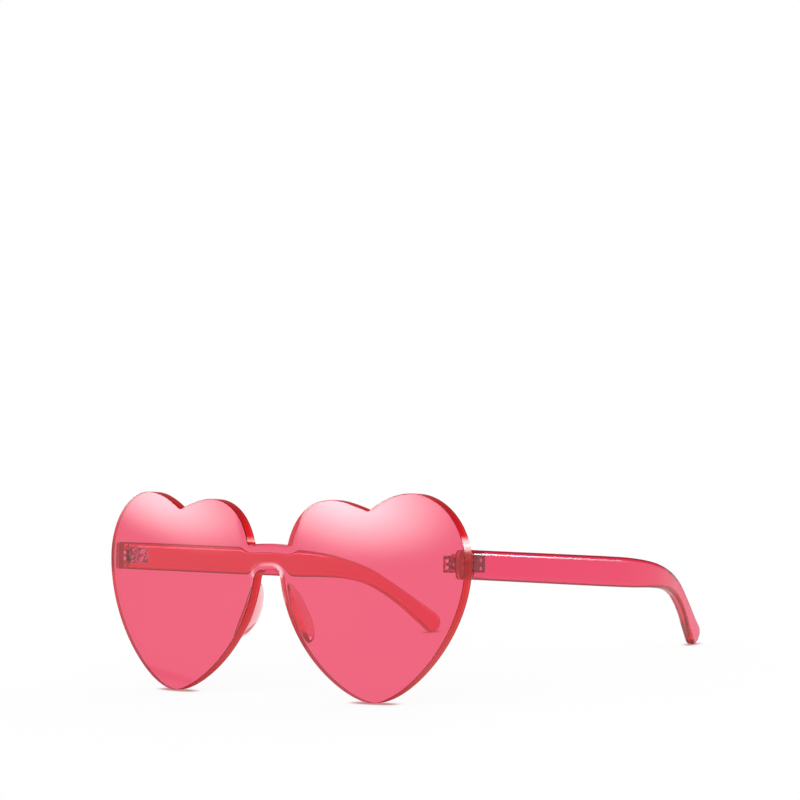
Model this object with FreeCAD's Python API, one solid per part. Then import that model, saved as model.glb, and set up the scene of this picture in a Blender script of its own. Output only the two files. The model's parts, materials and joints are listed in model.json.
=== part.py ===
import FreeCAD, Part
import math
import os
from FreeCAD import Matrix, Vector

# Heart-shaped sunglasses: one curved tinted plate cut as two hearts, with glued nose pads and
# endpieces, five-knuckle metal hinges and two moulded temples. All lengths are millimetres.
# The front is drawn with the heart tips at height 0, the lens facing -Y and the temples along +Y,
# and the whole is then leaned back until it stands on both heart tips and both temple tips.

# Front plate
front_width = 145.0
heart_height = 62.0
heart_spacing = 16.2
notch_height = 38.4
notch_flat = 3.6
notch_corner = 2.6
notch_inset = 2.7
bridge_height = 8.0
brow_dip = 0.6
base_curve_radius = 520.0
lens_thickness = 3.6
lens_bevel = 0.2
cleft_round = 0.6
brow_round = 0.7

# Outline of one heart between the brow and the nose side. Across, a share counts from the brow end
# to the outermost edge; upwards, from the tip to the highest lobe, but on the inner lobe from the brow
# to that lobe's top. Handles, then end point.
inner_top_share = 0.966
inner_lobe_shares = ((0.028, 0.51), (0.102, 1.0), (0.264, 1.0))
cleft_inner_shares = ((0.322, 0.966), (0.438, 0.927), (0.473, 0.911))
cleft_outer_shares = ((0.532, 0.953), (0.613, 1.0), (0.708, 1.0))
outer_lobe_shares = ((0.862, 1.0), (1.0, 0.856), (1.0, 0.668))
outer_side_shares = ((1.0, 0.313), (0.672, 0.0), (0.498, 0.0))
nose_side_shares = ((0.383, 0.0), (0.024, 0.193))
notch_lead_share = 0.054
notch_turn_share = 0.55

# Nose pads, leaf-shaped fins along the notch
pad_length = 19.5
pad_width = 2.6
pad_depth = 5.4
pad_top_level = 34.4
pad_edge_distance = 1.4
pad_bow = 0.8
pad_slope = 25.5
pad_flare = 4.0
pad_station_shares = (0.0, 0.06, 0.2, 0.42, 0.66, 0.86, 0.96, 1.0)
pad_swell_shares = (0.16, 0.42, 0.74, 0.96, 1.0, 0.74, 0.44, 0.18)

# Endpieces, blocks glued behind the outer edge of the front
arm_level = 41.4
arm_edge_inset = 1.0
arm_thickness = 3.9
endpiece_height = 8.6
endpiece_depth = 2.0
endpiece_corner = 1.1
butt_gap = 0.15

# Temples: root, run, bend, narrow neck and swollen tip. A row gives the place along the length,
# the drop, the inward curve, the height and the thickness as shares of the values below.
arm_length = 139.0
arm_drop = 24.24
arm_inward = 14.0
arm_height = 10.0
arm_round_share = 0.46
root_shares = (0.0, 0.0, 0.0, 0.87, 1.0)
run_shares = (0.12, 0.0262, 0.0, 0.888, 1.0)
bend_shares = (
    (0.25, 0.0545, 0.0, 0.908, 1.0),
    (0.38, 0.0828, 0.0, 0.928, 1.0),
    (0.5, 0.109, 0.0, 0.942, 1.0),
    (0.597, 0.133, 0.012, 0.925, 1.0),
    (0.692, 0.17, 0.09, 0.805, 1.0),
    (0.766, 0.236, 0.232, 0.65, 0.97),
    (0.825, 0.34, 0.395, 0.545, 0.94),
    (0.87, 0.476, 0.537, 0.505, 0.91),
    (0.919, 0.658, 0.708, 0.525, 0.88),
    (0.961, 0.836, 0.865, 0.62, 0.86),
    (1.0, 1.0, 1.0, 0.72, 0.86),
)

# Hinges
hinge_rise = 0.1
hinge_height = 4.9
knuckle_count = 5
knuckle_radius = 1.6
knuckle_gap = 0.08
knuckle_clearance = 0.5
leaf_thickness = 0.9
front_leaf_margin = 0.3
front_leaf_gap = 0.1
front_web_thickness = 0.8
arm_leaf_length = 5.7
screw_radius = 0.6
screw_clearance = 0.05
screw_head_radius = 1.1
screw_head_height = 0.6
screw_slot_width = 0.3
screw_slot_depth = 0.28

# Hinge pins in the front plate, and rivets in the temples
pin_radius = 0.6
pin_depth = 2.2
pin_spread = 1.9
pin_offset = 0.4
pin_clearance = 0.02
pin_end_gap = 0.1
rivet_radius = 0.6
rivet_depth = 2.2
rivet_spread = 2.4
rivet_place_share = 0.42
rivet_head_radius = 0.95
rivet_head_height = 0.35
rivet_head_bevel = 0.2

cut_overrun = 4.0
same_place = 0.01

half_width = front_width / 2
half_spacing = heart_spacing / 2
back_radius = base_curve_radius - lens_thickness
arm_outer_x = half_width - arm_edge_inset
arm_inner_x = arm_outer_x - arm_thickness
arm_middle_x = (arm_outer_x + arm_inner_x) / 2
hinge_x = arm_inner_x - knuckle_clearance - knuckle_radius
hinge_z = arm_level + hinge_rise
hinge_base = hinge_z - hinge_height / 2
knuckle_pitch = hinge_height / knuckle_count
across = Vector(1, 0, 0)
backward = Vector(0, 1, 0)
upward = Vector(0, 0, 1)


def back_of_lens(x):
    """Depth of the plate's rear face at a distance from the middle."""
    return base_curve_radius - math.sqrt(back_radius ** 2 - x ** 2)


endpiece_back = back_of_lens(arm_middle_x) + endpiece_depth
joint_plane = endpiece_back + butt_gap
front_leaf_back = back_of_lens(hinge_x) + leaf_thickness


def curve_edge(points):
    """Smooth edge through handles, drawn in the plane of the front."""
    curve = Part.BezierCurve()
    curve.setPoles([Vector(x, -cut_overrun, z) for x, z in points])
    return curve.toShape()


def upright_cylinder(radius):
    """Cylinder about the centre line of the base curve, taller than the front."""
    foot = Vector(0, base_curve_radius, -cut_overrun)
    return Part.makeCylinder(radius, heart_height + 2 * cut_overrun, foot)


def box_between(low, high):
    """Block from its low corner to its high corner."""
    size = high - low
    return Part.makeBox(size.x, size.y, size.z, low)


def rounded_section(centre, side, top, width, height, corner):
    """Closed rectangle with round corners, in the plane of two directions."""
    half_w = width / 2
    half_h = height / 2
    diagonal = corner * (1 - math.sqrt(0.5))
    edges = []
    previous = None
    first = None
    for s, t in ((1, -1), (1, 1), (-1, 1), (-1, -1)):
        on_side = centre + side * (s * half_w) + top * (t * (half_h - corner))
        on_end = centre + side * (s * (half_w - corner)) + top * (t * half_h)
        middle = centre + side * (s * (half_w - diagonal)) + top * (t * (half_h - diagonal))
        start, end = (on_side, on_end) if s == t else (on_end, on_side)
        if previous is None:
            first = start
        else:
            edges.append(Part.LineSegment(previous, start).toShape())
        edges.append(Part.Arc(start, middle, end).toShape())
        previous = end
    edges.append(Part.LineSegment(previous, first).toShape())
    return Part.Wire(edges)


def heart_outline():
    """Both hearts, the brow and the nose notch as one closed wire."""
    brow_height = notch_height + bridge_height
    span = half_width - half_spacing

    def placed(shares):
        return [(half_spacing + u * span, v * heart_height) for u, v in shares]

    joint = (half_spacing, brow_height - brow_dip)
    lobe_rise = inner_top_share * heart_height - joint[1]
    lobe = [(half_spacing + u * span, joint[1] + v * lobe_rise) for u, v in inner_lobe_shares]
    spans = [[(0, brow_height), (half_spacing / 2, brow_height), joint], [joint] + lobe]
    for shares in (cleft_inner_shares, cleft_outer_shares, outer_lobe_shares, outer_side_shares):
        spans.append([spans[-1][-1]] + placed(shares))
    side = (half_spacing - notch_inset, notch_height - notch_corner)
    nose_handles = placed(nose_side_shares)
    spans.append([spans[-1][-1]] + nose_handles + [side])
    lead = [end + (end - handle) * notch_lead_share for end, handle in zip(side, nose_handles[-1])]
    arch = (notch_flat / 2, notch_height)
    turn = (arch[0] + (side[0] - arch[0]) * notch_turn_share, notch_height)
    spans.append([side, lead, turn, arch])
    spans.append([arch, (0, notch_height)])
    mirrored = [[(-x, z) for x, z in reversed(points)] for points in reversed(spans)]
    corners = [spans[0][-1], spans[2][-1]]
    return Part.Wire([curve_edge(points) for points in spans + mirrored]), corners


def depth_edges(solid, places):
    """Edges that run straight back from the given places of the outline, on both sides."""
    found = []
    for edge in solid.Edges:
        spots = [(abs(v.Point.x), v.Point.z) for v in edge.Vertexes]
        for x, z in places:
            if all(math.hypot(a - x, b - z) < same_place for a, b in spots):
                found.append(edge)
    return found


def make_lens_front():
    """One plate of even thickness, bent to the base curve, with blind holes for the hinge pins."""
    wire, (brow_corner, cleft) = heart_outline()
    reach = back_of_lens(half_width) + 2 * cut_overrun
    prism = Part.Face(wire).extrude(backward * reach)
    prism = prism.makeFillet(cleft_round, depth_edges(prism, [cleft]))
    prism = prism.makeFillet(brow_round, depth_edges(prism, [brow_corner]))
    plate = prism.common(upright_cylinder(base_curve_radius)).cut(upright_cylinder(back_radius))
    rims = []
    for face in plate.Faces:
        if isinstance(face.Surface, Part.Cylinder) and face.Surface.Radius > heart_height:
            rims.extend(face.OuterWire.Edges)
    plate = plate.makeChamfer(lens_bevel, rims)
    for side in (1, -1):
        for centre in pin_centres():
            bottom = back_of_lens(centre.x) - pin_depth - pin_end_gap
            foot = Vector(side * centre.x, bottom, centre.z)
            plate = plate.cut(Part.makeCylinder(pin_radius + pin_clearance, reach, foot, backward))
    return plate


def pin_centres():
    """Places of the two hinge pins of the left side, seen from the front."""
    x = hinge_x + pin_offset
    return [Vector(x, 0, hinge_z + step * pin_spread / 2) for step in (-1, 1)]


def make_nose_pad():
    """Leaf-shaped fin that follows the notch, swells to its middle and flares from the nose."""
    slope = math.radians(pad_slope)
    flare = math.radians(pad_flare)
    along = Vector(math.sin(slope), 0, -math.cos(slope))
    outward = Vector(math.cos(slope), 0, math.sin(slope))
    rise = outward * math.sin(flare) + backward * math.cos(flare)
    start_x = half_spacing - notch_inset + pad_edge_distance
    start = Vector(start_x, back_of_lens(start_x), pad_top_level)
    rings = []
    for place, swell in zip(pad_station_shares, pad_swell_shares):
        bow = pad_bow * math.sin(math.pi * place)
        centre = start + along * (place * pad_length) - outward * bow
        centre.y = back_of_lens(centre.x)
        ring = Part.Ellipse(centre + rise * (swell * pad_depth),
                            centre + along.cross(rise) * (swell * pad_width / 2), centre)
        rings.append(Part.Wire(ring.toShape()))
    return Part.makeLoft(rings, True).common(upright_cylinder(back_radius))


def make_endpiece():
    """Rounded block that carries the arm's thrust to the back of the plate."""
    foot = Vector(arm_middle_x, 0, arm_level)
    wire = rounded_section(foot, across, upward, arm_thickness, endpiece_height, endpiece_corner)
    block = Part.Face(wire).extrude(backward * endpiece_back)
    return block.common(upright_cylinder(back_radius))


def knuckles(levels, web_low_x, web_high_x, web_low_y, web_high_y):
    """Hinge barrels at some levels, each with the web that joins it to its leaf, and their bore."""
    solid = None
    height = knuckle_pitch - knuckle_gap
    for level in levels:
        base = hinge_base + level * knuckle_pitch + knuckle_gap / 2
        barrel = Part.makeCylinder(knuckle_radius, height, Vector(hinge_x, joint_plane, base))
        web = box_between(Vector(web_low_x, web_low_y, base),
                          Vector(web_high_x, web_high_y, base + height))
        piece = barrel.fuse(web)
        solid = piece if solid is None else solid.fuse(piece)
    return solid


def hinge_bore():
    """Clear hole for the screw through every barrel."""
    foot = Vector(hinge_x, joint_plane, hinge_base - cut_overrun)
    return Part.makeCylinder(screw_radius + screw_clearance, hinge_height + 2 * cut_overrun, foot)


def make_front_hinge_leaf():
    """Foot plate seated on the plate's curve, with the outer and middle barrels."""
    low_x = hinge_x - knuckle_radius - front_leaf_margin
    foot = box_between(Vector(low_x, 0, hinge_base),
                       Vector(arm_inner_x - front_leaf_gap, front_leaf_back, hinge_base + hinge_height))
    foot = foot.common(upright_cylinder(back_radius))
    web_low_x = hinge_x - knuckle_radius
    barrels = knuckles(range(0, knuckle_count, 2), web_low_x, web_low_x + front_web_thickness,
                       front_leaf_back - leaf_thickness / 2, joint_plane)
    leaf = foot.fuse(barrels).cut(hinge_bore())
    for centre in pin_centres():
        hole = Part.makeCylinder(pin_radius + pin_clearance, front_leaf_back, centre, backward)
        leaf = leaf.cut(hole)
    return leaf.removeSplitter()


def make_front_hinge_pins():
    """Two plain pins through the foot plate into the back of the front."""
    pins = []
    for centre in pin_centres():
        bottom = back_of_lens(centre.x) - pin_depth
        foot = Vector(centre.x, bottom, centre.z)
        pins.append(Part.makeCylinder(pin_radius, front_leaf_back - bottom, foot, backward))
    return Part.makeCompound(pins)


def make_hinge_screw():
    """Slotted cheese-head screw down through all barrels."""
    seat = hinge_base + hinge_height - knuckle_gap / 2
    shank = Part.makeCylinder(screw_radius, seat - hinge_base, Vector(hinge_x, joint_plane, hinge_base))
    head = Part.makeCylinder(screw_head_radius, screw_head_height, Vector(hinge_x, joint_plane, seat))
    top = seat + screw_head_height
    slot = box_between(
        Vector(hinge_x - screw_head_radius, joint_plane - screw_slot_width / 2, top - screw_slot_depth),
        Vector(hinge_x + screw_head_radius, joint_plane + screw_slot_width / 2, top))
    return shank.fuse(head).cut(slot).removeSplitter()


def arm_leaf_span():
    """Front and rear end of the leaf on the temple."""
    start = joint_plane + knuckle_radius + knuckle_clearance
    return start, start + arm_leaf_length


def rivet_centres():
    """Places of the two rivets on the temple's inner face."""
    start, end = arm_leaf_span()
    y = start + (end - start) * rivet_place_share
    return [Vector(arm_inner_x, y, hinge_z + step * rivet_spread / 2) for step in (-1, 1)]


def make_temple_hinge_leaf():
    """Plate on the temple's inner face, with the two barrels between those of the front."""
    start, end = arm_leaf_span()
    plate_x = arm_inner_x - leaf_thickness
    plate = box_between(Vector(plate_x, start, hinge_base),
                        Vector(arm_inner_x, end, hinge_base + hinge_height))
    barrels = knuckles(range(1, knuckle_count, 2), plate_x, hinge_x + knuckle_radius, joint_plane, end)
    leaf = plate.fuse(barrels).cut(hinge_bore())
    for centre in rivet_centres():
        leaf = leaf.cut(Part.makeCylinder(rivet_radius + pin_clearance, leaf_thickness, centre, -across))
    return leaf.removeSplitter()


def make_temple_rivets():
    """Two flat-headed rivets through the leaf into the temple."""
    rivets = []
    for centre in rivet_centres():
        seat = centre - across * leaf_thickness
        shank = Part.makeCylinder(rivet_radius, leaf_thickness + rivet_depth, seat, across)
        straight = rivet_head_height - rivet_head_bevel
        rim = Part.makeCylinder(rivet_head_radius, straight, seat, -across)
        crown = Part.makeCone(rivet_head_radius, rivet_head_radius - rivet_head_bevel, rivet_head_bevel,
                              seat - across * straight, -across)
        rivets.append(shank.fuse(rim).fuse(crown).removeSplitter())
    return Part.makeCompound(rivets)


def arm_centre(shares):
    """Middle of the temple at one station."""
    along, drop, inward = shares[:3]
    return Vector(arm_middle_x - inward * arm_inward, joint_plane + along * arm_length,
                  arm_level - drop * arm_drop)


def arm_directions(heading):
    """Directions of the temple's thickness and height, which bend with it but don't twist."""
    side = (across - heading * across.dot(heading)).normalize()
    return side, side.cross(heading)


def arm_section(shares, heading):
    """Round-cornered section of the temple, square to its heading."""
    side, top = arm_directions(heading)
    width = shares[4] * arm_thickness
    height = shares[3] * arm_height
    return rounded_section(arm_centre(shares), side, top, width, height, arm_round_share * width)


def arm_headings():
    """Direction of the temple's centre line at the run and at every station of the bend."""
    centres = [arm_centre(shares) for shares in (root_shares, run_shares) + bend_shares]
    line = Part.BSplineCurve()
    line.interpolate(centres)
    return [Vector(*line.tangent(line.parameter(centre))[0]) for centre in centres[1:]]


def tip_cap(heading):
    """Half-round end of the temple, turned from the upper half of its last section."""
    shares = bend_shares[-1]
    centre = arm_centre(shares)
    side, top = arm_directions(heading)
    section = Part.Face(arm_section(shares, heading))
    reach = arm_height
    half = Part.Face(Part.makePolygon([
        centre - side * reach, centre + side * reach, centre + side * reach + top * reach,
        centre - side * reach + top * reach, centre - side * reach]))
    return section.common(half).revolve(centre, top.cross(heading), 180)


def make_temple():
    """Straight tapered run, then the bent and narrowed ear hook with its rounded tip."""
    headings = arm_headings()
    root = arm_section(root_shares, backward)
    rings = [arm_section(shares, heading)
             for shares, heading in zip((run_shares,) + bend_shares, headings)]
    arm = Part.makeLoft([root, rings[0]], True, True)
    arm = arm.fuse(Part.makeLoft(rings, True)).fuse(tip_cap(headings[-1])).removeSplitter()
    for centre in rivet_centres():
        hole = Part.makeCylinder(rivet_radius + pin_clearance, rivet_depth + pin_end_gap, centre, across)
        arm = arm.cut(hole)
    return arm


def lean_angle():
    """Angle at which a flat surface touches the rear bevel of a heart tip and a temple tip."""
    tip_x = half_spacing + outer_side_shares[-1][0] * (half_width - half_spacing)
    rim_y = back_of_lens(tip_x) - lens_bevel
    foot = arm_centre(bend_shares[-1])
    foot_radius = bend_shares[-1][3] * arm_height / 2
    run = foot.y - rim_y
    return math.atan2(foot.z, run) - math.asin(foot_radius / math.hypot(run, foot.z))


makers = {
    "nose_pad": make_nose_pad,
    "endpiece": make_endpiece,
    "front_hinge_leaf": make_front_hinge_leaf,
    "front_hinge_pins": make_front_hinge_pins,
    "hinge_screw": make_hinge_screw,
    "temple": make_temple,
    "temple_hinge_leaf": make_temple_hinge_leaf,
    "temple_rivets": make_temple_rivets,
}
nodes = {"lens_front": make_lens_front()}
for name, make in makers.items():
    piece = make()
    nodes[name + "_left"] = piece
    nodes[name + "_right"] = piece.mirror(Vector(), across)

# The resting pose, with the origin under the middle of the box that holds the whole part
lean = lean_angle()
pose = Matrix()
pose.rotateX(-lean)
settled = {name: shape.transformed(pose, True) for name, shape in nodes.items()}
box = Part.makeCompound(list(settled.values())).optimalBoundingBox(False)
shift = Vector(-box.Center.x, -box.Center.y, -box.ZMin)
pose.move(shift)

os.makedirs("parts", exist_ok=True)
for name, shape in nodes.items():
    shape.transformed(pose, True).exportStep("parts/" + name + ".step")
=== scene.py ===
import json
import math

import bpy
from mathutils import Matrix, Quaternion, Vector
from mathutils.geometry import delaunay_2d_cdt


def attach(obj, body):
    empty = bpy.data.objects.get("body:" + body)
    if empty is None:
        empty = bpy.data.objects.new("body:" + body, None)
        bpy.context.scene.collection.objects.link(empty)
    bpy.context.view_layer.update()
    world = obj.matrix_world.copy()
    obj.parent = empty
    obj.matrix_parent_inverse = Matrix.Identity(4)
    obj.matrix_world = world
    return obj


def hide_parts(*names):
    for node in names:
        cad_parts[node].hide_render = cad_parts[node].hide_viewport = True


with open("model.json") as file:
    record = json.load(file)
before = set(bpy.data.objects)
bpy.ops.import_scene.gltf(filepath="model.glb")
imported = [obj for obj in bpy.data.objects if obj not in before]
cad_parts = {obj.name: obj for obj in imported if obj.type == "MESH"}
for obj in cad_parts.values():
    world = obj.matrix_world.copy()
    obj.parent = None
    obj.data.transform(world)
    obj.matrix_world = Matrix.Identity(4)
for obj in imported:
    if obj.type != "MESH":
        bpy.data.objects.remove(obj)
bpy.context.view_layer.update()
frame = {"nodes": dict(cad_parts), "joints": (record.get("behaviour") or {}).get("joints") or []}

# Front plate: one sheet of polycarbonate, dyed pink-red right through and bent to a shallow curve.
# It is cut as two hearts that a bridge joins, the cut edge is ground and polished, and everything
# else is fixed to its back. Opened, it stands on its two tips and leans back.
front_width = 0.145
heart_height = 0.062
heart_spacing = 0.0162
notch_height = 0.0384
notch_flat = 0.0036
notch_corner = 0.0026
notch_inset = 0.0027
bridge_height = 0.008
brow_dip = 0.0006
base_curve_radius = 0.52
plate_thickness = 0.0036
rim_round = 0.0002
cleft_ease = 0.0004
brow_ease = 0.0007
inner_top_share = 0.966
inner_lobe_shares = ((0.028, 0.51), (0.102, 1.0), (0.264, 1.0))
cleft_inner_shares = ((0.322, 0.966), (0.438, 0.927), (0.473, 0.911))
cleft_outer_shares = ((0.532, 0.953), (0.613, 1.0), (0.708, 1.0))
outer_lobe_shares = ((0.862, 1.0), (1.0, 0.856), (1.0, 0.668))
outer_side_shares = ((1.0, 0.313), (0.672, 0.0), (0.498, 0.0))
nose_side_shares = ((0.383, 0.0), (0.024, 0.193))
notch_lead_share = 0.054
notch_turn_share = 0.55
outline_step = 0.0004

half_width = front_width / 2
half_spacing = heart_spacing / 2
back_radius = base_curve_radius - plate_thickness
arm_thickness = 0.0039
arm_inset = 0.001
arm_outer_x = half_width - arm_inset
arm_middle_x = arm_outer_x - arm_thickness / 2
arm_level = 0.0414
hinge_offset = 0.0021
hinge_x = arm_outer_x - arm_thickness - hinge_offset
hinge_lift = 0.0001
hinge_level = arm_level + hinge_lift
endpiece_depth = 0.002
butt_gap = 0.00015
x_way, y_way, z_way = Vector((1, 0, 0)), Vector((0, 1, 0)), Vector((0, 0, 1))


def plate_front(x):
    """Depth of the polished front face."""
    return base_curve_radius - math.sqrt(base_curve_radius ** 2 - x ** 2)


def plate_back(x):
    """Depth of the polished rear face."""
    return base_curve_radius - math.sqrt(back_radius ** 2 - x ** 2)


# All pieces are drawn upright, with the heart tips at height 0, and the left hinge gives their place.
endpiece_back = plate_back(arm_middle_x) + endpiece_depth
joint_plane = endpiece_back + butt_gap
left_fold = next(joint for joint in frame["joints"] if joint["name"] == "temple_left_fold")
lean = math.asin(left_fold["axis"][1])
settle = (Matrix.Translation(left_fold["pos_m"]) @ Matrix.Rotation(-lean, 4, "X")
          @ Matrix.Translation((-hinge_x, -joint_plane, -hinge_level)))


def smooth_piece(name, points, faces, normals, side=1):
    """Piece in its place, mirrored for the right side, shaded by the given surface normals."""
    place = settle @ Matrix.Diagonal((side, 1, 1, 1))
    turn = place.to_3x3()
    mesh = bpy.data.meshes.new(name)
    rims = faces if side > 0 else [face[::-1] for face in faces]
    mesh.from_pydata([place @ p for p in points], [], rims)
    mesh.polygons.foreach_set("use_smooth", [True] * len(mesh.polygons))
    mesh.update()
    mesh.normals_split_custom_set_from_vertices([(turn @ n).normalized() for n in normals])
    piece = bpy.data.objects.new(name, mesh)
    bpy.context.scene.collection.objects.link(piece)
    return piece


def bezier(points, count):
    """Points along a curve from its handles, without the last one."""
    out = []
    for i in range(count):
        row = [Vector(p) for p in points]
        while len(row) > 1:
            row = [a.lerp(b, i / count) for a, b in zip(row, row[1:])]
        out.append(row[0])
    return out


def heart_spans():
    """Handles of the left half of the outline, from the middle of the brow to that of the nose arch."""
    span = half_width - half_spacing
    brow = notch_height + bridge_height
    joint = (half_spacing, brow - brow_dip)
    rise = inner_top_share * heart_height - joint[1]
    spans = [[(0, brow), (half_spacing / 2, brow), joint],
             [joint] + [(half_spacing + u * span, joint[1] + v * rise) for u, v in inner_lobe_shares]]
    for shares in (cleft_inner_shares, cleft_outer_shares, outer_lobe_shares, outer_side_shares,
                   nose_side_shares):
        spans.append([spans[-1][-1]] + [(half_spacing + u * span, v * heart_height) for u, v in shares])
    side = (half_spacing - notch_inset, notch_height - notch_corner)
    lead = [end + (end - handle) * notch_lead_share for end, handle in zip(side, spans[-1][-1])]
    spans[-1].append(side)
    arch = (notch_flat / 2, notch_height)
    turn = (arch[0] + (side[0] - arch[0]) * notch_turn_share, notch_height)
    return spans + [[side, lead, turn, arch], [arch, (0, notch_height)]]


def ease_corner(points, corner, reach):
    """Rounds a sharp corner of the outline."""
    corner = Vector(corner)
    near = [i for i, p in enumerate(points) if (p - corner).length < reach]
    before, after = points[near[0] - 1], points[near[-1] + 1]
    points[near[0]:near[-1] + 1] = bezier([before, corner, after], 8)[1:]


def heart_outline(spacing):
    """Closed outline of the plate, clockwise as seen from the front."""
    spans = heart_spans()
    half = []
    for points in spans:
        length = sum((Vector(b) - Vector(a)).length for a, b in zip(points, points[1:]))
        half += bezier(points, max(2, round(length / spacing)))
    ease_corner(half, spans[2][-1], cleft_ease)
    ease_corner(half, spans[0][-1], brow_ease)
    half.append(Vector(spans[-1][-1]))
    return half + [Vector((-p.x, p.y)) for p in reversed(half[1:-1])]


outline = heart_outline(outline_step)
outward = []
for i in range(len(outline)):
    ahead = outline[(i + 1) % len(outline)] - outline[i - 1]
    outward.append(Vector((-ahead.y, ahead.x)).normalized())

# Rings round the edge: the front rim, the wall and the back rim. At the bridge both faces rise to a
# low lip along the edge, so what lies behind looks bent there.
lip_height = 0.0001
lip_width = 0.0034
lip_curve = 2.5
lip_least = 0.1
lip_reach = (0.008, 0.016)
lip_foot = notch_height - 4 * notch_corner
lip_shares = []
for p in outline:
    near = (lip_reach[1] - abs(p.x)) / (lip_reach[1] - lip_reach[0])
    near = min(max(near, 0.0), 1.0) if p.y > lip_foot else 0.0
    lip_shares.append(near * near * (3 - 2 * near))
lip_steps, rim_steps = 6, 4
steps = [(1 - k / lip_steps, 0.0) for k in range(lip_steps)]
steps += [(0.0, math.radians(90 * k / rim_steps)) for k in range(rim_steps + 1)]
points, normals, rings = [], [], []
for surface, sign in ((plate_front, 1), (plate_back, -1)):
    for share, angle in steps[::sign]:
        ring = []
        for p, n, lip in zip(outline, outward, lip_shares):
            inset = rim_round * (1 - math.sin(angle)) + share * lip_width * max(lip, lip_least)
            q = p - n * inset
            raised = lip * lip_height * (1 - share) ** lip_curve
            slope = lip * lip_curve * lip_height / lip_width * (1 - share) ** (lip_curve - 1)
            depth = surface(q.x) + sign * (rim_round * (1 - math.cos(angle)) - raised)
            face_way = Vector((q.x / base_curve_radius * sign - n.x * slope, -sign, -n.y * slope))
            wall_way = Vector((n.x, 0, n.y))
            ring.append(len(points))
            points.append(Vector((q.x, depth, q.y)))
            normals.append(face_way.normalized() * math.cos(angle) + wall_way * math.sin(angle))
        rings.append(ring)


def skin(rings, closed=True):
    """Faces between rings of equal count."""
    count = len(rings[0])
    faces = []
    for low, high in zip(rings, rings[1:]):
        for i in range(count if closed else count - 1):
            j = (i + 1) % count
            faces.append((low[i], low[j], high[j], high[i]))
    return faces


faces = skin(rings)

# A grid of inner points keeps both polished faces true to the curve.
grid_step = 0.0025
rim_line = [Vector((points[i].x, points[i].z)) for i in rings[0]]
columns = int(half_width / grid_step)
inner = [Vector((i * grid_step, k * grid_step)) for i in range(-columns, columns + 1)
         for k in range(1, int(heart_height / grid_step) + 1)]
loop = [(i, (i + 1) % len(rim_line)) for i in range(len(rim_line))]
flat, _, cells, origins, _, _ = delaunay_2d_cdt(rim_line + inner, loop, [], 1, 1e-7)
for surface, sign, ring in ((plate_front, 1, rings[0]), (plate_back, -1, rings[-1])):
    used = {}
    for index in sorted({v for cell in cells for v in cell}):
        rim = [i for i in origins[index] if i < len(rim_line)]
        if rim:
            used[index] = ring[rim[0]]
            continue
        q = flat[index]
        used[index] = len(points)
        points.append(Vector((q.x, surface(q.x), q.y)))
        normals.append(Vector((q.x / base_curve_radius, -1, 0)) * sign)
    faces += [tuple(used[v] for v in cell)[::sign] for cell in cells]
front_plate = smooth_piece("front_plate", points, faces, normals)


class Value:
    """A shader socket: arithmetic on it adds Math nodes, and node() adds any other kind."""

    def __init__(self, tree, socket=None):
        self.tree, self.socket = tree, socket

    def node(self, kind, settings=(), inputs=(), output=0):
        made = self.tree.nodes.new(kind)
        for name, setting in dict(settings).items():
            if name == "stops":
                ramp = made.color_ramp.elements
                while len(ramp) < len(setting):
                    ramp.new(1.0)
                for stop, (place, colour) in zip(ramp, setting):
                    stop.position, stop.color = place, (*colour, 1.0)
            else:
                setattr(made, name, setting)
        for name, value in dict(inputs).items():
            if isinstance(value, Value):
                self.tree.links.new(value.socket, made.inputs[name])
            else:
                made.inputs[name].default_value = value
        return Value(self.tree, made.outputs[output] if made.outputs else None)

    def maths(self, operation, first, second=0.0):
        return self.node("ShaderNodeMath", {"operation": operation}, {0: first, 1: second})

    def __add__(self, other):
        return self.maths("ADD", self, other)

    def __mul__(self, other):
        return self.maths("MULTIPLY", self, other)

    def __sub__(self, other):
        return self.maths("SUBTRACT", self, other)

    def __rsub__(self, other):
        return self.maths("SUBTRACT", other, self)

    def __abs__(self):
        return self.maths("ABSOLUTE", self)

    __radd__, __rmul__ = __add__, __mul__

    def part(self, axis):
        """One axis of a vector."""
        return self.node("ShaderNodeSeparateXYZ", (), {0: self}, axis)

    def along(self, way):
        """Share of a vector that runs along a direction."""
        return self.node("ShaderNodeVectorMath", {"operation": "DOT_PRODUCT"}, {0: self, 1: way}, "Value")

    def eased(self, low, high, first=0.0, last=1.0):
        """Soft step from the first value to the last between two levels."""
        return self.node("ShaderNodeMapRange", {"interpolation_type": "SMOOTHSTEP"}, {
            "Value": self, "From Min": low, "From Max": high, "To Min": first, "To Max": last})

    def toned(self, stops):
        """Colour from a ramp."""
        return self.node("ShaderNodeValToRGB", {"stops": stops}, {"Fac": self})

    def dimmed(self, share, dim):
        """Colour, multiplied by another one where the share is 1."""
        return self.node("ShaderNodeMix", {"data_type": "RGBA", "blend_type": "MULTIPLY"},
                         {0: share, 6: self, 7: (*dim, 1.0)}, 2)


def blank_material(name):
    """New material without nodes, and a start for its nodes."""
    material = bpy.data.materials.new(name)
    material.use_nodes = True
    material.node_tree.nodes.clear()
    return material, Value(material.node_tree)


wear_grain = 900.0
ripple_grain = 55.0
ripple_height = 0.0002
plastic_bend = 1.58
matt_bend = 1.34
matt_gloss = 0.05
# Painted glow of every matt part, standing in for light gathered in the dye.
matt_painted_glow = 0.65


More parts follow.
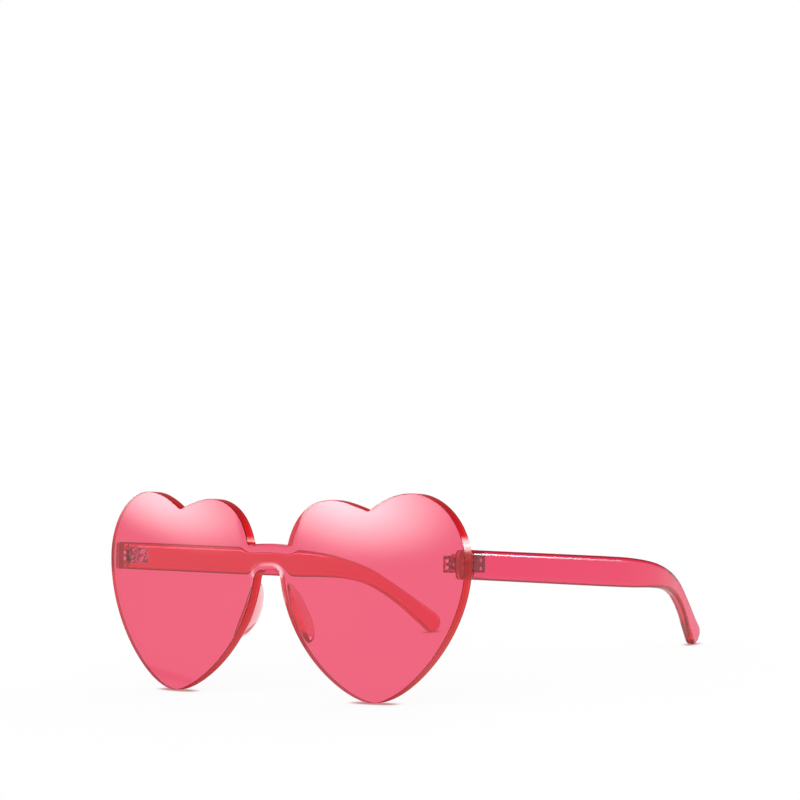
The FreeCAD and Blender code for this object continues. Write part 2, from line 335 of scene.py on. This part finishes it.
def dyed_plastic(name, clear, density, haze, ripple, cloud):
    """Clear plastic dyed in the mass, with moulding ripple, fine wear and the matt part that cloud gives,
    which glows with painted light.
    """
    material, start = blank_material(name)
    place = start.node("ShaderNodeTexCoord", output="Object")
    way = start.node("ShaderNodeTexCoord", output="Normal")
    wear = start.node("ShaderNodeTexNoise", (), {"Vector": place, "Scale": wear_grain, "Detail": 4.0})
    wave = start.node("ShaderNodeTexNoise", (), {"Vector": place, "Scale": ripple_grain, "Detail": 1.0})
    relief = start.node("ShaderNodeBump", (), {"Height": wave, "Strength": ripple, "Distance": ripple_height})
    body = start.node("ShaderNodeBsdfPrincipled", (), {
        "Base Color": (1.0, 0.99, 0.99, 1.0), "Roughness": wear * haze, "Normal": relief,
        "IOR": plastic_bend, "Transmission Weight": 1.0})
    share, tone, rubbed, bend = cloud(place, way, wave)
    # The matt part glows in its own tone: painted light, not a lamp.
    matt = start.node("ShaderNodeBsdfPrincipled", (), {
        "Base Color": tone, "Roughness": wear * 0.1 + (rubbed + matt_gloss), "IOR": bend,
        "Emission Color": tone, "Emission Strength": matt_painted_glow})
    both = start.node("ShaderNodeMixShader", (), {0: share, 1: body, 2: matt})
    dye = start.node("ShaderNodeVolumeAbsorption", (), {"Color": (*clear, 1.0), "Density": density})
    start.node("ShaderNodeOutputMaterial", (), {"Surface": both, "Volume": dye})
    return material


# The cut edge glows with painted light, standing in for light the dye gathers there. Its red is
# painted darker, as painted shade, along the top, in the shadow before the endpieces and on the
# down-facing tips, which are also rougher, rubbed where they stand.
plate_clear = (0.953, 0.13, 0.385)
plate_density = 715.0
plate_haze = 0.03
plate_ripple = 0.02
plate_milk = 0.005
# Edge red across the plate's thickness, with painted shade as dark lines at the front and back rims.
edge_red_with_painted_rim_shade = ((0.0, (0.2, 0.002, 0.006)), (0.16, (0.66, 0.006, 0.012)), (0.5, (0.62, 0.004, 0.008)),
                     (0.8, (0.8, 0.02, 0.03)), (1.0, (0.16, 0.01, 0.015)))
ground_edge_share = 0.92
ground_edge_turn = (0.25, 0.75)
# Painted shade on the upward-facing edge.
top_edge_painted_shade = (0.5, 0.3, 0.3)
top_edge_shade_turn = (0.2, 0.8)
# Painted shadow of the endpiece and hinge on the outer edge at hinge level.
hinge_painted_shadow = (0.55, 0.2, 0.2)
hinge_shadow_reach = (0.003, 0.0055)
hinge_shadow_x = (0.06, 0.065)
# Painted shade on the downward-facing edge at the tips; those faces are also rougher.
foot_painted_shade = (0.72, 0.6, 0.6)
foot_turn = (-0.95, -0.5)
foot_rubbing = 0.6


def ground_edge(place, way, wave):
    """Matt part of the plate: nearly all of its cut edge, and hardly any of its faces, with painted shade in
    its red.
    """
    turn = settle.to_3x3()
    back_way, top_way = turn @ y_way, turn @ z_way
    share = abs(way.along(back_way)).eased(*ground_edge_turn, ground_edge_share, plate_milk)
    x, up = place.part("X"), way.part("Z")
    depth = place.along(back_way) - back_way.dot(settle.translation) - x * x * (0.5 / base_curve_radius)
    level = place.along(top_way) - (top_way.dot(settle.translation) + hinge_level)
    # Painted shadow of the endpiece and hinge near hinge level on the outer edge.
    hinge_shadow = abs(level).eased(*hinge_shadow_reach, 1.0, 0.0) * abs(x).eased(*hinge_shadow_x)
    # Painted shade on down-facing edges, which are also rougher.
    foot = up.eased(*foot_turn, 1.0, 0.0)
    # Edge red across the thickness, with painted dark lines at the rims.
    tone = (depth * (1 / plate_thickness)).toned(edge_red_with_painted_rim_shade)
    # Painted shade along the top.
    tone = tone.dimmed(up.eased(*top_edge_shade_turn), top_edge_painted_shade)
    tone = tone.dimmed(hinge_shadow, hinge_painted_shadow)
    tone = tone.dimmed(foot, foot_painted_shade)
    return share, tone, foot * foot_rubbing, matt_bend


front_plate.data.materials.append(
    dyed_plastic("plate_plastic", plate_clear, plate_density, plate_haze, plate_ripple, ground_edge))
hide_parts("lens_front")
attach(front_plate, "front")

# Nose pads: two small moulded fins of clear dyed plastic, leaf shaped and glued behind the plate
# along the edge of the nose notch. They bow with that edge and swell in their lower half.
pad_length = 0.0195
pad_width = 0.0026
pad_depth = 0.0054
pad_top_level = 0.0344
pad_edge_distance = 0.0014
pad_bow = 0.0008
pad_slope = math.radians(25.5)
pad_flare = math.radians(4.0)
pad_station_shares = (0.0, 0.06, 0.2, 0.42, 0.66, 0.86, 0.96, 1.0)
pad_swell_shares = (0.16, 0.42, 0.74, 0.96, 1.0, 0.74, 0.44, 0.18)
glue_film = 0.00003
pad_clear = (0.95, 0.05, 0.2)
pad_density = 300.0
pad_haze = 0.08
pad_ripple = 0.05
pad_milk = 0.08
pad_tones = ((0.3, (0.6, 0.02, 0.03)), (0.7, (0.85, 0.06, 0.08)))


def through(places, values, place):
    """Smooth value between stations, with slopes taken from the neighbours."""
    i = max(k for k in range(len(places) - 1) if places[k] <= place)
    slopes = []
    for k in (i, i + 1):
        low, high = max(k - 1, 0), min(k + 1, len(places) - 1)
        slopes.append((values[high] - values[low]) / (places[high] - places[low]))
    step = places[i + 1] - places[i]
    t = (place - places[i]) / step
    return ((2 * t ** 3 - 3 * t ** 2 + 1) * values[i] + (t ** 3 - 2 * t ** 2 + t) * step * slopes[0]
            + (3 * t ** 2 - 2 * t ** 3) * values[i + 1] + (t ** 3 - t ** 2) * step * slopes[1])


pad_rings, pad_steps = 40, 24
along = Vector((math.sin(pad_slope), 0, -math.cos(pad_slope)))
across = Vector((math.cos(pad_slope), 0, math.sin(pad_slope)))
rise = across * math.sin(pad_flare) + y_way * math.cos(pad_flare)
pad_top = Vector((half_spacing - notch_inset + pad_edge_distance, 0, pad_top_level))
points, rings = [], []
for k in range(pad_rings + 1):
    place = 0.5 - 0.5 * math.cos(math.pi * k / pad_rings)
    swell = through(pad_station_shares, pad_swell_shares, place)
    foot = pad_top + along * (place * pad_length) - across * (pad_bow * math.sin(math.pi * place))
    ring = []
    for m in range(pad_steps + 1):
        turn = math.pi * m / pad_steps
        p = foot - across * (swell * pad_width / 2 * math.cos(turn))
        p.y = plate_back(p.x) + glue_film
        ring.append(len(points))
        points.append(p + rise * (swell * pad_depth * math.sin(turn)))
    rings.append(ring)
faces = skin(rings) + [tuple(rings[0][::-1]), tuple(rings[-1])]


def even_normals(points, faces):
    """Averaged normals, for a piece that is round all over."""
    mesh = bpy.data.meshes.new("even")
    mesh.from_pydata(points, [], faces)
    normals = [v.normal.copy() for v in mesh.vertices]
    bpy.data.meshes.remove(mesh)
    return normals


def milky(share, tones):
    """Matt part of a moulding that is a little milky all through; like every matt part it glows with painted
    light.
    """
    def cloud(place, way, wave):
        return share, wave.toned(tones), 0.0, matt_bend
    return cloud


normals = even_normals(points, faces)
pad_plastic = dyed_plastic("pad_plastic", pad_clear, pad_density, pad_haze, pad_ripple,
                           milky(pad_milk, pad_tones))
for label, side in (("left", 1), ("right", -1)):
    pad = smooth_piece("nose_fin_" + label, points, faces, normals, side)
    pad.data.materials.append(pad_plastic)
    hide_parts("nose_pad_" + label)
    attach(pad, "front")

# Endpieces: short moulded blocks in the temples' magenta-red plastic, glued behind the plate's outer
# edges. The front ends of the temples butt on them when the sunglasses are open.
endpiece_height = 0.0086
endpiece_corner = 0.0011
block_round = 0.0003
arm_clear = (0.962, 0.16, 0.53)
arm_density = 1000.0
arm_ripple = 0.05
arm_tones = ((0.3, (0.75, 0.015, 0.06)), (0.7, (0.9, 0.03, 0.1)))
block_haze = 0.06
block_milk = 0.1


def rounded_ring(centre, side, top, width, height, across, down, steps=10):
    """Points and normals round a rectangle with oval corners, from the middle of one side."""
    ring = [(centre + side * (width / 2), side)]
    for s, t, first in ((1, 1, 0), (-1, 1, 90), (-1, -1, 180), (1, -1, 270)):
        pivot = centre + side * (s * (width / 2 - across)) + top * (t * (height / 2 - down))
        if first == 180:
            ring.append((centre - side * (width / 2), -side))
        for k in range(steps + 1):
            angle = math.radians(first + 90 * k / steps)
            way = side * (math.cos(angle) / across) + top * (math.sin(angle) / down)
            ring.append((pivot + side * (math.cos(angle) * across) + top * (math.sin(angle) * down),
                         way.normalized()))
    return ring


points, normals, rings = [], [], []
block_steps = 4
for end in (-1, 1):
    for step in range(block_steps + 1):
        angle = math.radians(90 * (block_steps - step if end < 0 else step) / block_steps)
        trim = block_round * (1 - math.cos(angle))
        lift = block_round * (1 - math.sin(angle))
        ring = []
        for p, n in rounded_ring(Vector((arm_middle_x, 0, arm_level)), x_way, z_way,
                                 arm_thickness - 2 * trim, endpiece_height - 2 * trim,
                                 endpiece_corner - trim, endpiece_corner - trim):
            p.y = plate_back(p.x) + glue_film + lift if end < 0 else endpiece_back - lift
            ring.append(len(points))
            points.append(p)
            normals.append(n * math.cos(angle) + y_way * (end * math.sin(angle)))
        rings.append(ring)
faces = [face[::-1] for face in skin(rings)] + [tuple(rings[0]), tuple(rings[-1][::-1])]
block_plastic = dyed_plastic("block_plastic", arm_clear, arm_density, block_haze, arm_ripple,
                             milky(block_milk, arm_tones))
for label, side in (("left", 1), ("right", -1)):
    block = smooth_piece("end_block_" + label, points, faces, normals, side)
    block.data.materials.append(block_plastic)
    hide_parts("endpiece_" + label)
    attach(block, "front")

# Hinges: stamped leaves with five turned barrels, held by pins in the plate, rivets in the temples
# and a slotted screw. All are brass, nickel plated and lightly brushed. A leaf's outward face, the one
# toward the plastic, is darkened with painted shade.
leaf_tones = ((0.4, (0.16, 0.14, 0.14)), (0.6, (0.95, 0.91, 0.88)))
# Painted shade on a leaf's outward face.
leaf_painted_shade = (0.2, 0.17, 0.17)
leaf_roughness = 0.15
head_tones = ((0.3, (0.85, 0.83, 0.8)), (0.7, (0.95, 0.94, 0.92)))
head_painted_shade = (1.0, 1.0, 1.0)
head_roughness = 0.02
outward_shade_turn = (0.5, 0.8)
plating_grain = 1300.0
plating_relief = 0.00005
stamped_edge = 0.0001
weld_reach = 0.000001


def nickel_plating(name, tones, shade_dim, roughness):
    """Plated metal with a fine brushed grain, and painted shade on the face that points outward."""
    material, start = blank_material(name)
    place = start.node("ShaderNodeTexCoord", output="Object")
    way = start.node("ShaderNodeTexCoord", output="Normal")
    grain = start.node("ShaderNodeTexNoise", (), {"Vector": place, "Scale": plating_grain, "Detail": 3.0})
    outer = way.part("X") * start.maths("SIGN", place.part("X"))
    # Painted shade on the outward face.
    tone = grain.toned(tones).dimmed(outer.eased(*outward_shade_turn), shade_dim)
    relief = start.node("ShaderNodeBump", (), {"Height": grain, "Strength": 0.15, "Distance": plating_relief})
    plating = start.node("ShaderNodeBsdfPrincipled", (), {
        "Base Color": tone, "Metallic": 1.0, "Roughness": grain * 0.1 + roughness, "Normal": relief})
    start.node("ShaderNodeOutputMaterial", (), {"Surface": plating})
    return material


brushed = nickel_plating("brushed_nickel", leaf_tones, leaf_painted_shade, leaf_roughness)
polished = nickel_plating("polished_nickel", head_tones, head_painted_shade, head_roughness)
for name, finish in (("front_hinge_leaf", brushed), ("front_hinge_pins", polished), ("hinge_screw", polished),
                     ("temple_hinge_leaf", brushed), ("temple_rivets", polished)):
    for label in ("left", "right"):
        fitting = frame["nodes"][name + "_" + label]
        fitting.data.materials.clear()
        fitting.data.materials.append(finish)
        joined = fitting.modifiers.new("joined", "WELD")
        joined.merge_threshold = weld_reach
        eased = fitting.modifiers.new("eased", "BEVEL")
        eased.width, eased.segments, eased.limit_method = stamped_edge, 2, "ANGLE"

# Temples: moulded bars of clear magenta-red plastic with full round edges. They run straight back,
# then bend down and inward to a narrow ear hook that ends in a swollen round tip.
arm_length = 0.139
arm_drop = 0.02424
arm_inward = 0.014
arm_height = 0.01
arm_round_share = 0.36
arm_crown_share = 0.2
arm_place_shares = (0.0, 0.12, 0.25, 0.38, 0.5, 0.597, 0.692, 0.766, 0.825, 0.87, 0.919, 0.961, 1.0)
arm_drop_shares = (0.0, 0.0262, 0.0545, 0.0828, 0.109, 0.133, 0.17, 0.236, 0.34, 0.476, 0.658, 0.836, 1.0)
arm_inward_shares = (0.0, 0.0, 0.0, 0.0, 0.0, 0.012, 0.09, 0.232, 0.395, 0.537, 0.708, 0.865, 1.0)
arm_height_shares = (0.87, 0.888, 0.908, 0.928, 0.942, 0.925, 0.805, 0.65, 0.545, 0.505, 0.525, 0.62, 0.72)
arm_width_shares = (1.0, 1.0, 1.0, 1.0, 1.0, 1.0, 1.0, 0.97, 0.94, 0.91, 0.88, 0.86, 0.86)
heading_step = 0.003
root_round = 0.0003
leaf_seat = 0.00004


def arm_middle(place):
    """Centre line of the left temple."""
    return Vector((arm_middle_x - arm_inward * through(arm_place_shares, arm_inward_shares, place),
                   joint_plane + place * arm_length,
                   arm_level - arm_drop * through(arm_place_shares, arm_drop_shares, place)))


arm_rings, root_steps = 160, 4
points, normals, rings = [], [], []
for k in range(-root_steps, arm_rings + 1):
    place = max(k, 0) / arm_rings
    angle = math.radians(90 * max(-k, 0) / root_steps)
    trim = root_round * (1 - math.cos(angle))
    ahead, behind = min(place + heading_step, 1.0), max(place - heading_step, 0.0)
    heading = y_way.copy() if k <= 0 else (arm_middle(ahead) - arm_middle(behind)).normalized()
    side = (x_way - heading * heading.x).normalized()
    top = side.cross(heading)
    width = arm_thickness * through(arm_place_shares, arm_width_shares, place) - leaf_seat - 2 * trim
    height = arm_height * through(arm_place_shares, arm_height_shares, place) - 2 * trim
    centre = arm_middle(place) + side * (leaf_seat / 2)
    if k <= 0:
        centre.y += root_round * (1 - math.sin(angle))
    ring = rounded_ring(centre, side, top, width, height, arm_round_share * width,
                        max(arm_round_share * width, arm_crown_share * height))
    rings.append(range(len(points), len(points) + len(ring)))
    points += [p for p, n in ring]
    normals += [n * math.cos(angle) - y_way * math.sin(angle) for p, n in ring]
faces = [tuple(rings[0])] + [face[::-1] for face in skin(rings)]

# The tip is the upper half of the last ring, turned half a circle to meet its lower half.
cap_steps = 16
last = list(rings[-1])
half = len(last) // 2
tip = centre.copy()
arcs = [last[:half + 1]]
for k in range(1, cap_steps):
    turn = Quaternion(top.cross(heading), math.pi * k / cap_steps)
    arc = [last[0]]
    for index in last[1:half]:
        arc.append(len(points))
        points.append(tip + turn @ (points[index] - tip))
        normals.append(turn @ normals[index])
    arcs.append(arc + [last[half]])
arcs.append([last[0]] + last[:half - 1:-1])
for face in skin(arcs, False):
    corners = tuple(dict.fromkeys(face))
    if len(corners) > 2:
        faces.append(corners[::-1])

arm_haze = 0.04
arm_milk = 0.06
arm_bend = 1.2
arm_edge_share = 0.9
arm_edge_turn = (0.4, 0.8)
arm_edge_run = (0.025, 0.045)
# Painted shade on the temples' top and bottom edges.
arm_edge_painted_shade = (0.3, 0.08, 0.1)
arm_shade_turn = (0.3, 0.7)


def arm_edge(place, way, wave):
    """Matt part of the temples: top and bottom edges on the straight run darkened with painted shade, and a
    little milkiness.
    """
    level = abs(way.part("Z"))
    straight = place.part("Y").eased(*arm_edge_run, arm_edge_share, 0.0)
    share = level.maths("MAXIMUM", level.eased(*arm_edge_turn) * straight, arm_milk)
    tone = wave.toned(arm_tones).dimmed(level.eased(*arm_shade_turn), arm_edge_painted_shade)
    return share, tone, 0.0, arm_bend


arm_plastic = dyed_plastic("arm_plastic", arm_clear, arm_density, arm_haze, arm_ripple, arm_edge)
for label, hand in (("left", 1), ("right", -1)):
    arm = smooth_piece("arm_" + label, points, faces, normals, hand)
    arm.data.materials.append(arm_plastic)
    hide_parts("temple_" + label)
    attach(arm, "temple_" + label)

# Stage: a white table that keeps a faint shadow and, under the tips, a painted contact shadow, in a
# white room whose ceiling is darker, so that polished edges show. Soft boxes stand to the left, above
# and behind, seen in gloss alone.
table_size = 12.0
table_glow = 0.91
table_tone = 0.09
table_shine_reach = (0.2, 0.9)
# Painted contact shadow where the tips stand.
painted_contact_shadow_reach = 0.003
painted_contact_shadow_tones = ((0.35, (0.52, 0.27, 0.26)), (0.9, (1.0, 1.0, 1.0)))
gloss_share = 0.6


def stage_sheet(name, half_wide, half_high, place):
    """Flat sheet of the stage, facing along its own Z."""
    mesh = bpy.data.meshes.new(name)
    corners = ((-1, -1), (1, -1), (1, 1), (-1, 1))
    mesh.from_pydata([(x * half_wide, y * half_high, 0) for x, y in corners], [], [(0, 1, 2, 3)])
    sheet = bpy.data.objects.new(name, mesh)
    sheet.matrix_world = place
    bpy.context.scene.collection.objects.link(sheet)
    return sheet


def seen_by(start, rays):
    """1 for a ray of any of the named kinds, otherwise 0."""
    path = start.node("ShaderNodeLightPath").socket.node
    return start.maths("MINIMUM", sum(Value(start.tree, path.outputs[ray]) for ray in rays), 1.0)


table = stage_sheet("table", table_size, table_size, Matrix.Identity(4))
paper, start = blank_material("white_table")
place = start.node("ShaderNodeTexCoord", output="Object")
reach = start.node("ShaderNodeVectorMath", {"operation": "LENGTH"}, {0: place}, "Value")
shine = reach.eased(*table_shine_reach, 1.0, gloss_share)
seen = start.maths("MAXIMUM", seen_by(start, ("Is Camera Ray", "Is Transmission Ray")),
                   seen_by(start, ("Is Glossy Ray",)) * shine)
# Painted contact shadow: the table's glow is darkened and reddened where ambient occlusion finds the
# sunglasses close above.
open_sky = start.node("ShaderNodeAmbientOcclusion", {"samples": 16}, {"Distance": painted_contact_shadow_reach}, "AO")
glow = start.node("ShaderNodeEmission", (), {"Color": open_sky.toned(painted_contact_shadow_tones), "Strength": table_glow})
matt = start.node("ShaderNodeBsdfDiffuse", (), {"Color": (table_tone, table_tone, table_tone, 1.0)})
lit = start.node("ShaderNodeAddShader", (), {0: glow, 1: matt})
both = start.node("ShaderNodeMixShader", (), {0: seen, 1: matt, 2: lit})
start.node("ShaderNodeOutputMaterial", (), {"Surface": both})
table.data.materials.append(paper)

ceiling_level = 0.16
ceiling_way = (0.0, 0.2, 1.0)
ceiling_turn = (0.17, 0.4)
room = bpy.data.worlds.new("white_room")
bpy.context.scene.world = room
room.use_nodes = True
room.node_tree.nodes.clear()
start = Value(room.node_tree)
sky = start.node("ShaderNodeTexCoord", output="Generated")
shade = sky.along(ceiling_way).eased(*ceiling_turn, 1.0 - gloss_share)
seen = seen_by(start, ("Is Glossy Ray",)) * (1.0 - seen_by(start, ("Is Transmission Ray",)))
white = start.node("ShaderNodeBackground", (), {"Color": (1.0, 1.0, 1.0, 1.0)})
dark = start.node("ShaderNodeBackground", (), {"Color": (ceiling_level, ceiling_level, ceiling_level, 1.0)})
light = start.node("ShaderNodeMixShader", (), {0: seen * shade, 1: white, 2: dark})
start.node("ShaderNodeOutputWorld", (), {"Surface": light})


def soft_box(name, centre, half_wide, half_high, strength):
    """Glowing sheet that fades to its rim, turned to the sunglasses and seen only in gloss."""
    centre = Vector(centre)
    facing = Matrix.Translation(centre) @ (-centre).to_track_quat("Z", "Y").to_matrix().to_4x4()
    sheet = stage_sheet(name, half_wide, half_high, facing)
    material, start = blank_material(name)
    place = start.node("ShaderNodeTexCoord", output="Object")
    spread = start.node("ShaderNodeVectorMath", {"operation": "DIVIDE"},
                        {0: place, 1: (half_wide, half_high, 1.0)})
    fade = start.node("ShaderNodeTexGradient", {"gradient_type": "SPHERICAL"}, {"Vector": spread}, "Fac")
    glow = start.node("ShaderNodeEmission", (), {"Color": fade.eased(0.0, 1.0), "Strength": strength})
    veil = start.node("ShaderNodeBsdfTransparent", (), {"Color": (1.0, 1.0, 1.0, 1.0)})
    both = start.node("ShaderNodeAddShader", (), {0: glow, 1: veil})
    start.node("ShaderNodeOutputMaterial", (), {"Surface": both})
    sheet.data.materials.append(material)
    for ray in ("camera", "diffuse", "transmission", "volume_scatter", "shadow"):
        setattr(sheet, "visible_" + ray, False)


left_way = Vector((-0.633, -0.774, 0.0))
along_wall = Vector((0.774, -0.633, 0.0))
soft_box("soft_box_near", left_way * 1.5 + along_wall * 0.2 + z_way * 0.182, 0.37, 0.058, 11.6)
soft_box("soft_box_far", left_way * 1.5 - along_wall * 0.372 + z_way * 0.1445, 0.35, 0.044, 7.5)
soft_box("soft_box_wide", left_way * 1.6 + z_way * 0.1, 1.6, 1.2, 0.45)
soft_box("soft_box_above", (0.34, -0.72, 1.1), 0.3, 0.3, 10.0)
soft_box("soft_box_behind", (0.72, 0.895, 0.32), 0.2, 0.2, 22.0)
soft_box("soft_box_side", (0.75, 0.95, 0.15), 0.55, 0.4, 0.8)

# Camera: at the height of a low tripod, before the left side of the sunglasses, with a long lens.
camera_place = Vector((0.57017, -0.69786, 0.11653))
camera_aim = Vector((-0.00272, -0.00329, 0.08656))
camera_roll = math.radians(-2.75)
lens = bpy.data.cameras.new("camera")
lens.lens = 125.13
lens.sensor_width = 36.0
camera = bpy.data.objects.new("camera", lens)
camera.location = camera_place
camera.rotation_mode = "QUATERNION"
camera.rotation_quaternion = ((camera_aim - camera_place).to_track_quat("-Z", "Y")
                              @ Quaternion(z_way, camera_roll))
bpy.context.scene.collection.objects.link(camera)
bpy.context.scene.camera = camera
bpy.context.scene.view_settings.view_transform = "Standard"
